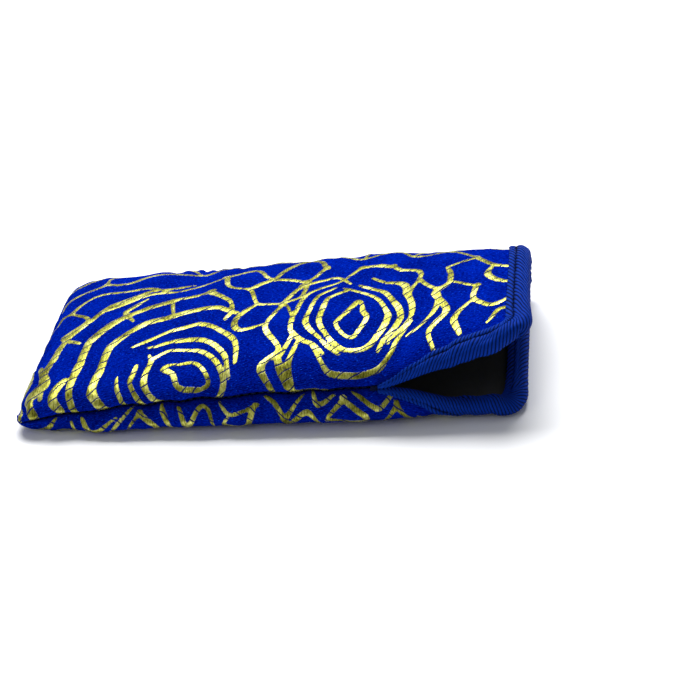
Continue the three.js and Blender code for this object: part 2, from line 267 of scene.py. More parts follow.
def half_width(s):
    taper = mix(BASE_HALF_WIDTH, MOUTH_HALF_WIDTH, s / LENGTH)
    past = min(1.0, max(0.0, 1 - s / CORNER_RADIUS))
    return taper - CORNER_RADIUS * (1 - math.sqrt(1 - past * past))


def run_at(s):
    """The run along the cloth from the fold, at a distance from the closed end."""
    return s - FOLD_RADIUS + FOLD_ARC


def seam_share(run):
    """1 where the walls are sewn together at the front, 0 along the slit."""
    s = np.asarray(run, float) - FOLD_ARC + FOLD_RADIUS
    return 1 - smooth((s - SLIT_START + 1) / 2)


def upper_controls(s, h, seam, opened):
    """Front edge, crown and back seam of the upper wall, as two Beziers end to end."""
    crown = CROWN[0] + CROWN[1] * math.sqrt(max(s, 0) / LENGTH)
    rise = crown - seam
    m = smooth(opened)
    inset, height = LIFTED_CORNER
    front = (-h + inset * opened**1.5, mix(seam, height, opened**1.15))
    top = (0.0, crown + 1.2 * m)
    tilt = -0.04 * m
    bulge = 4.6
    fuller = mix(0.62, 1.0, smooth((s - 60) / 70)) - 0.3 * smooth((s - 152) / 20)
    return [
        front,
        (mix(front[0] - bulge, front[0] + 0.35 * h, m), mix(front[1] + 0.55 * rise, front[1] + 0.4, m)),
        (-mix(0.62, 0.4, m) * h, top[1] - tilt * 0.4 * h),
        top,
        (0.68 * h, top[1] + tilt * 0.68 * h),
        (h + bulge, seam + fuller * rise),
        (h, seam),
    ]


def lower_controls(s, h, seam, opened):
    """Front edge, middle of the underside and back seam of the lower wall, as two Beziers end to end."""
    spread, height = LOWER_CORNER
    down = smooth(opened * 1.15)
    front = (-h - spread * opened, mix(seam, height, down))
    belly = (MOUTH_LIFT + FLAT_SINK) * smooth((s - LENGTH + 24) / 14) - FLAT_SINK
    rounded = min(1.0, s / 10) * mix(0.3, 1.0, smooth((s - 6) / 28))
    bulge = mix(13.0, 17.0, s / SLIT_START) * rounded
    return [
        front,
        (mix(front[0] - bulge, front[0] + 5.0, down), max(0.15 * front[1], belly)),
        (-mix(0.88, 0.66, opened) * h, belly),
        (0.0, belly),
        (0.88 * h, belly),
        (h + bulge, max(0.15 * seam, belly)),
        (h, seam),
    ]


def bezier(points, t):
    a, b, c, d = (np.array(p, float) for p in points)
    t = t[:, None]
    r = 1 - t
    return r**3 * a + 3 * r * r * t * b + 3 * r * t * t * c + t**3 * d


class Wall:
    """One wall as a table of points, by the run from the fold and the share of its width."""

    STEP = 0.8
    SHARES = 150

    def __init__(self, upper):
        self.upper = upper
        self.runs = np.linspace(0, RUN_END, int(RUN_END / self.STEP) + 1)
        share = np.linspace(0, 1, self.SHARES + 1)
        rows, lengths = [], []
        for run in self.runs:
            s, parted = self.place_of(run)
            h, seam = half_width(s), seam_height(s)
            opened = min(1.0, max(0.0, (s - SLIT_START) / (LENGTH - SLIT_START)))
            controls = (upper_controls if upper else lower_controls)(s, h, seam, opened)
            t = np.linspace(0, 1, 80)
            line = np.concatenate([bezier(controls[:4], t), bezier(controls[3:], t)[1:]])
            along = np.concatenate([[0], np.cumsum(np.linalg.norm(np.diff(line, axis=0), axis=1))])
            y = np.interp(share * along[-1], along, line[:, 0])
            z = np.interp(share * along[-1], along, line[:, 1])
            gap = mix(*SEAM_GAP, smooth(share * 8 - 6.5)) * (1 if upper else -1)
            z = seam + parted * (z - seam + gap)
            if not upper:
                z = np.maximum(z, 0.0)
            y = mix(mix(-h, h, share), y, parted)
            front_skew = MOUTH_SKEW[0 if upper else 1]
            skewed = mix(front_skew, MOUTH_SKEW[2], smooth(share)) * smooth((s - 135) / 37)
            rows.append(np.stack([s - ORIGIN_X + skewed, y, z], axis=1))
            lengths.append(along[-1])
        self.points = np.array(rows)
        self.lengths = np.array(lengths)
        self.find_normals()

    @staticmethod
    def place_of(run):
        """The distance from the closed end, and how far the walls have parted there."""
        if run >= FOLD_ARC:
            return FOLD_RADIUS + run - FOLD_ARC, 1.0
        angle = run / FOLD_RADIUS
        return FOLD_RADIUS * (1 - math.cos(angle)), math.sin(angle)

    def find_normals(self):
        along = np.gradient(self.points, axis=0)
        across = np.gradient(self.points, axis=1)
        if not self.upper:
            # at the fold the lower wall goes on from the upper one
            along = -along
        normal = np.cross(along, across)
        normal /= np.linalg.norm(normal, axis=2, keepdims=True) + 1e-12
        normal[0] = (-1.0, 0.0, 0.0)
        self.normals = normal

    def length_at(self, run):
        return np.interp(run, self.runs, self.lengths)

    def look_up(self, table, run, w):
        i = np.clip(np.asarray(run, float) / RUN_END, 0, 1) * (len(self.runs) - 1)
        j = np.clip(w / self.length_at(run), 0, 1) * self.SHARES
        i0 = np.minimum(i.astype(int), len(self.runs) - 2)
        j0 = np.minimum(j.astype(int), self.SHARES - 1)
        fi, fj = (i - i0)[..., None], (j - j0)[..., None]
        near = table[i0, j0] * (1 - fj) + table[i0, j0 + 1] * fj
        far = table[i0 + 1, j0] * (1 - fj) + table[i0 + 1, j0 + 1] * fj
        return near * (1 - fi) + far * fi

    def normal(self, run, w):
        n = self.look_up(self.normals, run, w)
        return n / np.linalg.norm(n, axis=-1, keepdims=True)

    def at(self, run, w, depth=0.0):
        """Points below the wall's face by depth; beyond its edges they go on straight."""
        run, w = np.broadcast_arrays(np.asarray(run, float), np.asarray(w, float))
        base = self.look_up(self.points, run, w)
        over_run = np.maximum(run - RUN_END, 0)[..., None]
        over_w = np.minimum(w, 0)[..., None]
        inside_run = self.look_up(self.points, np.minimum(run, RUN_END) - 1.0, w)
        inside_w = self.look_up(self.points, run, np.maximum(w, 0) + 1.0)
        base = base + (base - inside_run) * over_run + (inside_w - base) * over_w
        return base - self.normal(run, w) * np.asarray(depth, float)[..., None]

    def shift(self, moved):
        """Moves the whole wall by a table of millimetres; the table it lies on stays its floor."""
        self.points = self.points + moved
        if not self.upper:
            self.points[..., 2] = np.maximum(self.points[..., 2], 0.0)
        self.find_normals()

    def pucker(self):
        """The stitches draw both long edges in, and the cloth stands up in small waves between them."""
        run = self.runs[:, None]
        share = np.linspace(0, 1, self.SHARES + 1)[None, :]
        w = share * self.lengths[:, None]
        from_back = self.lengths[:, None] - w
        height = np.zeros_like(w)
        sewn = seam_share(self.runs)[:, None]
        for inward, phase, held in ((w, 0.0, mix(0.25, 1.0, sewn)), (from_back, 2.1, 1.0)):
            uneven = 0.9 * np.sin(run / 17 + phase) + 0.5 * np.sin(run / 7.3 + 2 * phase)
            wave = np.sin(2 * math.pi * (run / PUCKER_PITCH + uneven) + phase)
            wave = wave * (0.65 + 0.35 * np.sin(run / 11 + phase))
            reach = np.exp(-(((inward - PUCKER_CREST) / PUCKER_REACH) ** 2))
            height = height + PUCKER * wave * reach * held * smooth(inward / 3)
            height = height - SEAM_DRAW * np.exp(-((inward / 1.5) ** 2)) * held
        broad = np.sin(run / 13.0 + 0.9 * np.sin(w / 15.0)) * np.sin(w / 11.0 + 1.3 * np.sin(run / 21.0))
        height = height + SWELL * broad * smooth(w / 12) * smooth(from_back / 12)
        if not self.upper:
            # the table holds the lower wall flatter along the back and near the closed end
            height = height * mix(1.0, 0.25, smooth((share - 0.7) / 0.2))
            height = height * mix(0.3, 1.0, smooth((run - 30) / 40))
        height = height * smooth((run - 2) / 12) * smooth((RUN_END - run) / 10)
        self.shift(self.normals * height[..., None])


upper_wall = Wall(True)
lower_wall = Wall(False)
upper_wall.pucker()
lower_wall.pucker()


def front_edge(run, radius, reach=TAPE_REACH):
    """How far the wall's front edge is from the full width: nothing on the seam, then under the tape."""
    s = np.asarray(run, float) - FOLD_ARC + FOLD_RADIUS
    wall_radius = radius - reach
    past = np.clip((s - (LENGTH - reach) + wall_radius) / wall_radius, 0, 1)
    return reach * smooth((s - SLIT_START + 1) / 2) + wall_radius * (1 - np.sqrt(1 - past * past))


# ---- the woven figure: outline roses, leaves and tendrils, in millimetres on the cut cloth ----
CURVE_STEPS = 7  # between two points
WEIGHT = 0.88  # of every stroke
NARROW = 0.55  # a stroke's ends, as a share of its middle


def curve_through(points, closed=False):
    """A smooth line through the points, as closely spaced points."""
    p = np.array(points, float)
    count = len(p)
    if closed:
        p = np.concatenate([p[-1:], p, p[:2]])
    else:
        p = np.concatenate([p[:1] * 2 - p[1:2], p, p[-1:] * 2 - p[-2:-1]])
        count -= 1
    t = np.linspace(0, 1, CURVE_STEPS, endpoint=False)[:, None]
    out = []
    for k in range(count):
        a, b, c, d = p[k : k + 4]
        bend, twist = 2 * a - 5 * b + 4 * c - d, 3 * b - 3 * c + d - a
        out.append(0.5 * (2 * b + (c - a) * t + bend * t**2 + twist * t**3))
    out.append(p[-2][None] if not closed else p[1][None])
    return np.concatenate(out)


class Figure:
    """Collects the gold strokes as short straight pieces, each with a half width at either end."""

    LATTICE = 11.0  # millimetres between the kinks that the loom's coarse drawing gives to every line
    KINK = 2.3

    def __init__(self):
        self.pieces = []
        self.kinks = np.random.RandomState(7).uniform(-1, 1, (40, 40, 2))

    def stroke(self, points, wide, closed=False):
        line = curve_through(points, closed)
        share = np.linspace(0, 1, len(line))
        thick = np.ones(len(line)) if closed else np.sin(math.pi * share) ** 0.6
        half = 0.5 * WEIGHT * wide * mix(NARROW, 1.0, thick)
        self.pieces.append(np.column_stack([line[:-1], line[1:], half[:-1], half[1:]]))

    def strokes(self, wide, *lines):
        for points in lines:
            self.stroke(points, wide)

    def rose(self, centre, across, along, turn=0.0, flip=1, outer=True):
        """A rose in outline: a drop for its heart, crescents round it and, if outer, cornered petals.
        Returns the function that lays further lines round the same centre."""
        a = math.radians(turn)

        def spun(points, scale=1.0):
            out = []
            for x, y in points:
                x, y = flip * x * scale, y * scale
                u, v = x * math.cos(a) - y * math.sin(a), x * math.sin(a) + y * math.cos(a)
                out.append((centre[0] + across * u, centre[1] + along * v))
            return out

        for closed, wide, points in ROSE_LINES if outer else ROSE_LINES[:6]:
            self.stroke(spun(points), wide, closed)
        return spun

    def warped(self, places):
        """The places moved by an uneven lattice, whose straight runs put kinks in the lines."""
        turn = np.array([[0.83, 0.56], [-0.56, 0.83]])
        grid = places @ turn / self.LATTICE + 12.0
        low = np.clip(grid.astype(int), 0, 38)
        f = np.clip(grid - low, 0, 1)
        i, j = low[:, 0], low[:, 1]
        fx, fy = f[:, :1], f[:, 1:]
        near = self.kinks[i, j] * (1 - fy) + self.kinks[i, j + 1] * fy
        far = self.kinks[i + 1, j] * (1 - fy) + self.kinks[i + 1, j + 1] * fy
        return places + self.KINK * (near * (1 - fx) + far * fx)

    def distance(self, places):
        """The distance from each place to the nearest stroke's edge, negative inside the stroke."""
        places = self.warped(places)
        best = np.full(len(places), 9.0)
        order = np.argsort(places[:, 0])
        sorted_x = places[order, 0]
        for x0, y0, x1, y1, h0, h1 in np.concatenate(self.pieces):
            first, last = np.searchsorted(sorted_x, (min(x0, x1) - 4, max(x0, x1) + 4))
            near = order[first:last]
            near = near[np.abs(places[near, 1] - (y0 + y1) / 2) < 4 + abs(y1 - y0) / 2]
            p = places[near] - (x0, y0)
            d = np.array([x1 - x0, y1 - y0])
            t = np.clip((p @ d) / max(d @ d, 1e-9), 0, 1)
            gap = np.linalg.norm(p - t[:, None] * d, axis=1) - (h0 + (h1 - h0) * t)
            best[near] = np.minimum(best[near], gap)
        return best


# a rose's lines, in shares of its half width: closed or open, the stroke's width, and its points
ROSE_LINES = [
    (True, 2.0, [
        (-0.12, -0.26), (-0.20, -0.05), (-0.10, 0.13), (0.05, 0.32), (0.09, 0.10), (0.17, -0.04),
        (0.11, -0.22), (0.0, -0.33),
    ]),
    (False, 2.7, [
        (-0.02, 0.62), (-0.28, 0.44), (-0.42, 0.12), (-0.38, -0.22), (-0.19, -0.48), (0.07, -0.56),
        (0.31, -0.42), (0.43, -0.10), (0.38, 0.20), (0.20, 0.45), (-0.10, 0.66),
    ]),
    (False, 2.4, [(-0.22, 0.74), (-0.50, 0.45), (-0.60, 0.06), (-0.48, -0.32), (-0.22, -0.56)]),
    (False, 2.5, [(-0.14, 0.92), (-0.60, 0.66), (-0.82, 0.22), (-0.74, -0.24), (-0.44, -0.52)]),
    (False, 2.8, [(0.10, 0.70), (0.44, 0.44), (0.60, 0.04), (0.52, -0.34), (0.24, -0.66)]),
    (False, 2.6, [(0.30, 0.82), (0.68, 0.52), (0.80, 0.12), (0.70, -0.28), (0.42, -0.60)]),
    (False, 2.5, [(-0.62, -0.40), (-0.34, -0.76), (0.06, -0.88), (0.44, -0.72), (0.72, -0.36)]),
    (False, 2.3, [
        (-0.78, 0.12), (-1.02, 0.50), (-1.02, 0.50), (-0.70, 0.94), (-0.70, 0.94), (-0.26, 1.02),
        (-0.02, 0.76),
    ]),
    (False, 2.3, [
        (-0.14, 0.90), (0.16, 1.12), (0.16, 1.12), (0.62, 1.00), (0.62, 1.00), (0.94, 0.66),
        (0.82, 0.14),
    ]),
    (False, 2.4, [(0.90, 0.44), (1.14, 0.06), (1.14, 0.06), (1.00, -0.40), (0.66, -0.62)]),
    (False, 2.4, [(-0.76, -0.14), (-1.08, -0.40), (-1.08, -0.40), (-0.96, -0.82), (-0.44, -0.94)]),
]


def upper_figure():
    """The upper wall: x is the run from the fold, y the way from the front seam."""
    f = Figure()
    f.rose((119, 32), 25, 31, 8)
    left = f.rose((64, 10), 27, 29, 62, -1, False)
    # flowing lines that echo the left rose, out to the closed end
    arc = [(0.86, 0.46), (0.50, 0.88), (0.06, 1.06), (-0.50, 1.00), (-0.90, 0.60), (-1.05, 0.10)]
    for scale, wide, first, last in ((1.14, 3.7, 0, 6), (1.46, 3.5, 0, 5), (1.84, 3.0, 1, 5)):
        f.stroke(left(arc[first:last], scale), wide)
    f.strokes(
        3.8,
        [(6, 1), (4, 9), (8, 17), (5, 28)],
        [(13, 0), (10, 8), (15, 15), (11, 25)],
        [(22, 1), (18, 8), (21, 16)],
    )
    f.strokes(
        2.4,
        [(41, 44), (38, 52), (44, 58)],
        [(56, 46), (54, 54), (54, 54), (66, 57), (66, 57), (74, 46), (73, 38)],
        [(24, 34), (17, 42), (22, 50), (16, 58)],
        [(30, 55), (40, 60), (52, 62)],
    )
    # between the roses
    f.strokes(
        2.4,
        [(93, 1), (90, 12), (94, 20), (88, 30), (92, 43)],
        [(92, 43), (84, 47), (80, 57), (80, 57), (88, 64), (99, 61), (99, 61), (100, 50), (92, 43)],
        [(80, 57), (72, 60), (70, 70), (70, 70), (80, 75), (88, 64)],
        [(99, 61), (105, 70), (105, 70), (99, 79), (92, 74), (88, 64)],
        [(84, 47), (77, 40), (79, 31), (88, 30)],
        [(99, 3), (97, 12), (101, 20)],
    )
    # beside the mouth
    f.strokes(
        2.5,
        [(148, 4), (145, 14), (150, 24), (146, 35), (152, 44), (149, 54)],
        [(152, 44), (160, 38), (160, 38), (158, 28), (164, 21), (172, 24)],
        [(158, 28), (153, 19), (156, 9)],
        [(149, 54), (158, 58), (158, 58), (166, 50), (176, 47)],
        [(176, 34), (168, 37), (164, 44), (166, 50)],
        [(165, 10), (169, 18), (177, 14)],
    )
    # thin lines along the back
    f.strokes(
        1.9,
        [(2, 36), (6, 50), (16, 58), (16, 58), (22, 70), (40, 68), (52, 62), (63, 66), (70, 70)],
        [(1, 58), (10, 70), (24, 80), (24, 80), (33, 77), (46, 82), (60, 78), (70, 84), (84, 82), (99, 79)],
        [(24, 80), (27, 88), (39, 92), (52, 89), (60, 78)],
        [(3, 80), (13, 84), (24, 92)],
        [(99, 79), (108, 84), (108, 84), (118, 76), (130, 80), (137, 72), (149, 70), (158, 58)],
        [(118, 76), (121, 86), (135, 90), (146, 84), (137, 72)],
        [(84, 82), (92, 90), (106, 92), (118, 88)],
        [(149, 70), (160, 76), (160, 76), (168, 68), (177, 66)],
        [(146, 84), (158, 88), (168, 82), (177, 84)],
        [(60, 92), (74, 93), (84, 89)],
    )
    return f


def lower_figure():
    """The lower wall, from the fold as well: its front edge is the strip below the front seam."""
    f = Figure()
    for spot, turn in (((34, 46), 10), ((150, 54), 200)):
        f.rose(spot, 25, 27, turn)
    f.rose((92, 62), 26, 28, 120, -1)
    f.rose((60, 96), 20, 20, 40, 1, False)
    f.rose((126, 98), 18, 18, 310, -1, False)
    # small cornered bits along the strip
    f.strokes(
        2.2,
        [(4, 3), (9, 9), (9, 9), (16, 4), (19, 0)],
        [(12, 12), (20, 7), (27, 11), (27, 11), (25, 2)],
        [(29, 1), (33, 8), (40, 3)],
        [(37, 12), (42, 5), (46, 0)],
        [(45, 11), (49, 3), (49, 3), (55, 8), (52, 14)],
        [(57, 0), (60, 9)],
        [(63, 1), (65, 10), (65, 10), (71, 3), (74, 11)],
        [(76, 0), (80, 6), (88, 5), (88, 5), (86, 13), (78, 11), (80, 6)],
        [(91, 1), (96, 9), (96, 9), (102, 2)],
        [(94, 14), (103, 8), (109, 13)],
        [(105, 0), (108, 6), (114, 2)],
        [(111, 11), (117, 4), (117, 4), (123, 12), (111, 11)],
        [(120, 1), (126, 7), (131, 2)],
        [(129, 13), (133, 5), (133, 5), (139, 11), (136, 17)],
        [(141, 8), (147, 12), (153, 7), (162, 11), (170, 8)],
        [(146, 18), (156, 17), (166, 19), (176, 16)],
    )
    f.strokes(
        2.3,
        [(8, 22), (20, 18), (33, 20), (46, 17), (58, 23), (70, 19)],
        [(66, 30), (60, 44), (66, 58), (60, 72), (72, 82)],
        [(84, 24), (98, 20), (110, 25), (122, 21)],
        [(118, 34), (122, 50), (116, 66), (124, 80), (140, 84)],
        [(4, 70), (16, 80), (30, 78), (40, 86)],
        [(78, 100), (92, 96), (106, 104)],
        [(148, 92), (160, 88), (176, 94)],
        [(6, 96), (20, 100), (34, 96)],
    )
    return f


# ---- cloth laid over the walls ----
def laid_grid(name, rows, columns, place, turned=False, uv=True):
    """A grid whose points are moved by place(a, b), with a and b from 0 to 1, which returns their places
    and cloth coordinates, both in millimetres. The cloth coordinates become its UV map."""
    bm = bmesh.new()
    bmesh.ops.create_grid(bm, x_segments=rows, y_segments=columns, size=0.5)
    if turned:
        bmesh.ops.reverse_faces(bm, faces=bm.faces)
    mesh = bpy.data.meshes.new(name)
    bm.to_mesh(mesh)
    bm.free()
    flat = np.empty(len(mesh.vertices) * 3)
    mesh.vertices.foreach_get("co", flat)
    flat = flat.reshape(-1, 3) + 0.5
    points, cloth = place(flat[:, 0], flat[:, 1])
    mesh.vertices.foreach_set("co", (np.asarray(points) * MM).ravel())
    if uv:
        layer = mesh.uv_layers.new(name="cloth")
        corner = np.empty(len(mesh.loops), int)
        mesh.loops.foreach_get("vertex_index", corner)
        layer.data.foreach_set("uv", cloth[corner].ravel())
    mesh.shade_smooth()
    mesh.update()
    made = bpy.data.objects.new(name, mesh)
    bpy.context.collection.objects.link(made)
    return made, cloth


def thicken(piece, thickness):
    shell = piece.modifiers.new("thickness", "SOLIDIFY")
    shell.thickness = thickness * MM
    shell.offset = -1.0
    return piece


def store(piece, name, values):
    """Keeps a number at every vertex, for the material to read."""
    attribute = piece.data.attributes.new(name, "FLOAT", "POINT")
    attribute.data.foreach_set("value", np.asarray(values, np.float32))


def wall_sheet(name, wall, radius, depth, cells, end_inset, raised=None, turn_in=0.0, side_inset=0.0):
    """A sheet over a whole wall at a depth. raised(cloth) gives how far each point stands proud."""

    def place(a, b):
        run = a * (RUN_END - end_inset)
        edge = front_edge(run, radius, end_inset)
        length = wall.length_at(run)
        # the inner layers keep clear of the closed corners, and the padding of the mouth's back corner
        inset = side_inset + (CORNER_INSET * (1 - smooth(run / 16)) if depth > 0 else 0.0)
        low = edge - turn_in * seam_share(run) + inset
        high = length + turn_in - inset - side_inset * smooth((run - 130) / 20)
        w = mix(low, high, b)
        cloth = np.column_stack([run, w])
        lift = raised(cloth) if raised else 0.0
        inner = np.clip(w, 0, length)
        points = wall.at(run, inner, depth - lift)
        # the turned-in edge goes straight in beside the seam
        over = (w - inner)[:, None]
        points = points + np.array([0.0, -1.0, 0.0]) * over
        if not wall.upper:
            points[:, 2] = np.maximum(points[:, 2], 0.02 + max(depth, 0))
        return points, cloth

    return laid_grid(name, *cells, place, turned=not wall.upper)


# ---- the padded walls, blown up a little by a cloth simulation ----
SIM_SCALE = 20.0  # the simulation runs on a larger copy, which suits the solver's masses
SIM_FRAMES = 20
PLUMP_LIMIT = 1.3  # millimetres


def plump(wall, rows=62, columns=36):
    """Lets a coarse copy of a wall grow and fill between its seams, and moves the wall to where it
    settles."""

    def place(a, b):
        run = a * RUN_END
        w = b * wall.length_at(run)
        return wall.at(run, w) * SIM_SCALE, np.column_stack([a, b])

    copy, share = laid_grid("plump_copy", rows, columns, place, turned=not wall.upper, uv=False)
    order = np.lexsort((share[:, 1], share[:, 0]))
    start = np.array([v.co[:] for v in copy.data.vertices])
    rim = np.minimum(share, 1 - share)
    held = np.maximum(1 - rim[:, 0] * rows, 1 - rim[:, 1] * columns)
    held = np.maximum(held, 0.5 * (1 - (1 - share[:, 0]) * rows / 4))
    group = copy.vertex_groups.new(name="held")
    for k, weight in enumerate(np.clip(held, 0, 1)):
        group.add([k], float(weight), "REPLACE")
    settings = copy.modifiers.new("plump", "CLOTH").settings
    settings.quality = 6
    settings.mass = 0.1
    settings.tension_stiffness = settings.compression_stiffness = 12
    settings.shear_stiffness = 6
    settings.bending_stiffness = 0.6
    settings.tension_damping = settings.compression_damping = 12
    settings.shrink_min = -0.045
    settings.use_pressure = True
    settings.uniform_pressure_force = 4
    settings.vertex_group_mass = "held"
    settings.effector_weights.gravity = 0
    for frame_number in range(1, SIM_FRAMES + 1):
        bpy.context.scene.frame_set(frame_number)
    settled = copy.evaluated_get(bpy.context.evaluated_depsgraph_get())
    moved = np.array([v.co[:] for v in settled.data.vertices]) - start
    bpy.context.scene.frame_set(1)
    bpy.data.objects.remove(copy)

    size = (rows + 1, columns + 1, 3)
    moved = (moved[order] / (MM * SIM_SCALE)).reshape(size)
    far = np.linalg.norm(moved, axis=2, keepdims=True)
    moved = moved / (1 + far / PLUMP_LIMIT)
    i = np.linspace(0, rows, len(wall.runs))
    j = np.linspace(0, columns, wall.SHARES + 1)
    moved = np.stack([cubic(i, moved[:, k]) for k in range(columns + 1)], axis=1)
    moved = np.stack([cubic(j, row) for row in moved])
    wall.shift(moved)


def cubic(at, values):
    """Values between the entries of a table, on a smooth curve through them."""
    k = np.clip(at.astype(int), 0, len(values) - 2)
    t = (at - k)[:, None]
    before, first = values[np.maximum(k - 1, 0)], values[k]
    second, after = values[k + 1], values[np.minimum(k + 2, len(values) - 1)]
    bend = 2 * before - 5 * first + 4 * second - after
    twist = 3 * first - before - 3 * second + after
    return first + 0.5 * t * (second - before + t * (bend + t * twist))


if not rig.quick():
    plump(upper_wall)
    plump(lower_wall)


def brocade(name, wall, radius, figure, width):
    """A wall's outer cloth, with the gold standing proud; width is what its points are counted over."""
    found = {}

    def raised(cloth):
        found["gold"] = figure.distance(cloth)
        return RELIEF * smooth(0.5 - found["gold"] / 0.7)

    cells = int(RUN_END / FINE), int(width / FINE)
    piece, _ = wall_sheet(name, wall, radius, 0.0, cells, TAPE_REACH, raised=raised, turn_in=TURN_IN)
    store(piece, "gold", found["gold"])
    return thicken(piece, BROCADE_THICK)


def padding(name, wall, radius):
    piece, _ = wall_sheet(name, wall, radius, PADDING_DEPTH, (90, 60), PADDING_END, side_inset=PADDING_SIDE)
    return thicken(piece, PADDING_THICK)


def lining(name, wall, radius):
    piece, _ = wall_sheet(name, wall, radius, LINING_DEPTH, (120, 72), LINING_END)
    return thicken(piece, LINING_THICK)


# ---- the binding tape ----
class BoundEdge:
    """The bound edge of a wall: along the slit, round the front corner and across the mouth."""

    def __init__(self, wall, radius, start, back):
        self.wall, self.radius = wall, radius
        slit = LENGTH - radius - start
        across = wall.length_at(RUN_END) - radius - back
        self.start = start
        self.parts = (slit, radius * math.pi / 2, across)
        self.length = sum(self.parts)

    def trace(self, t):
        """The distance from the closed end, the width and the way into the wall, at t along the edge."""
        slit, round_, _ = self.parts
        t = np.asarray(t, float)
        angle = np.clip((t - slit) / self.radius, 0, math.pi / 2)
        s = self.start + np.minimum(t, slit) + self.radius * np.sin(angle)
        w = self.radius * (1 - np.cos(angle)) + np.maximum(t - slit - round_, 0)
        return s, w, -np.sin(angle), np.cos(angle)

    def at(self, t, inside, depth):
        s, w, into_s, into_w = self.trace(t)
        inside = np.asarray(inside, float)
        return self.wall.at(run_at(s + into_s * inside), w + into_w * inside, depth)


upper_edge = BoundEdge(upper_wall, UPPER_CORNER_RADIUS, SLIT_START - 0.5, 0.4)
lower_edge = BoundEdge(lower_wall, LOWER_CORNER_RADIUS, SLIT_START - 0.5, 0.4)


def tape_growth(t):
    """The share of its width that the tape shows, which grows from the slit's end."""
    return mix(0.06, 1.0, np.clip(t / 27, 0, 1) ** 0.85)


def tape_profile(a, t):
    """The folded tape's outer face: from a = 0 at its inner edge outside, round the wall's edge, to its
    inner edge inside. Returns the distance inside the bound edge and the depth."""
    outer = np.clip(a, 0, TAPE_LEG)
    turn = np.clip((a - TAPE_LEG) / TAPE_BEND, 0, 1) * math.pi
    inner = np.clip(a - TAPE_LEG - TAPE_BEND, 0, TAPE_LEG)
    inside = TAPE_WIDTH - outer - TAPE_NOSE * np.sin(turn) + inner
    depth = WALL_DEPTH / 2 - TAPE_HALF * np.cos(turn)
    # puffed bands on either side of the row of stitches, on both faces
    for side, sign in ((outer, -1), (TAPE_LEG - inner, 1)):
        on = (turn <= 0) if sign < 0 else (turn >= math.pi - 1e-9)
        groove = np.exp(-(((side - STITCH_INSET) / 0.55) ** 2))
        edge = np.exp(-((side / 0.5) ** 2))
        band = 0.35 * np.sin(np.clip((side - STITCH_INSET) / (TAPE_LEG - STITCH_INSET), 0, 1) * math.pi)
        depth = depth + on * sign * (band - 0.42 * groove - 0.3 * edge) * tape_growth(t)
    inside = np.where(inside > 1.0, 1.0 + (inside - 1.0) * tape_growth(t), inside)
    return inside, depth


def rib_phase(edge, t, around):
    """The tape's twill, counted in ribs; they lean more where the tape runs across the mouth."""
    slit, corner, _ = edge.parts

    def lean_at(t):
        return mix(*RIB_LEAN, smooth((t - slit + 3) / (corner + 10)))

    steps = np.linspace(0, edge.length, 1001)
    rate = 1 / (RIB_SPACING * np.sqrt(1 + lean_at(steps) ** 2))
    counted = np.concatenate([[0], np.cumsum((rate[1:] + rate[:-1]) / 2) * (steps[1] - steps[0])])
    return np.interp(t, steps, counted) + lean_at(t) * np.interp(t, steps, rate) * (around - TAPE_WIDTH / 2)


def tape(name, edge, turned):
    def place(a, b):
        t, around = a * edge.length, b * TAPE_AROUND
        inside, depth = tape_profile(around, t)
        lift = RIB_LIFT * np.sin(rib_phase(edge, t, around) * 2 * math.pi)
        turn = np.clip((around - TAPE_LEG) / TAPE_BEND, 0, 1) * math.pi
        points = edge.at(t, inside - lift * np.sin(turn), depth - lift * np.cos(turn))
        if not edge.wall.upper:
            points[:, 2] = np.maximum(points[:, 2], TAPE_SHELL + 0.03)
        return points, np.column_stack([t, around])

    piece, cloth = laid_grid(name, *TAPE_CELLS, place, turned)
    store(piece, "rib", rib_phase(edge, cloth[:, 0], cloth[:, 1]))
    return thicken(piece, TAPE_SHELL)


# ---- stitches ----
def stitch_row(name, centres, directions, normals, length, radius):
    """A row of short thick threads, each a stretched ball whose middle stands out of the cloth."""
    bm = bmesh.new()
    for centre, along, out in zip(centres, directions, normals):
        along = Vector(along).normalized()
        out = Vector(out).normalized()
        side = out.cross(along).normalized()
        out = along.cross(side)
        turn = Matrix((along, side, out)).transposed().to_4x4()
        size = Matrix.Diagonal((length / 2 * MM, radius * MM, radius * 0.8 * MM, 1))
        spot = Matrix.Translation(Vector(centre) * MM) @ turn @ size
        bmesh.ops.create_icosphere(bm, subdivisions=2, radius=1.0, matrix=spot)
    mesh = bpy.data.meshes.new(name)
    bm.to_mesh(mesh)
    bm.free()
    mesh.shade_smooth()
    made = bpy.data.objects.new(name, mesh)
    bpy.context.collection.objects.link(made)
    return made


def tape_stitches(name, edge):
    """A row of stitches on each face of the tape."""
    count = int(edge.length / 3.0)
    t = (np.arange(count) + 0.5) * edge.length / count
    rows = []
    for around, side in ((STITCH_INSET, -1), (TAPE_AROUND - STITCH_INSET, 1)):
        inside, depth = tape_profile(np.full(count, around), t)
        centre = edge.at(t, inside, depth + side * 0.12)
        ahead = edge.at(t + 0.4, inside, depth + side * 0.12)
        under = edge.at(t, inside, depth - side)
        wander = 0.16 * np.sin(t * 1.9 + around)[:, None] * np.array([0, 1, 0])
        rows.append((centre, ahead - centre + wander, centre - under))
    centres, directions, normals = (np.concatenate(p) for p in zip(*rows))
    centres[:, 2] = np.maximum(centres[:, 2], THREAD_RADIUS)
    return stitch_row(name, centres, directions, normals, 2.3, THREAD_RADIUS)


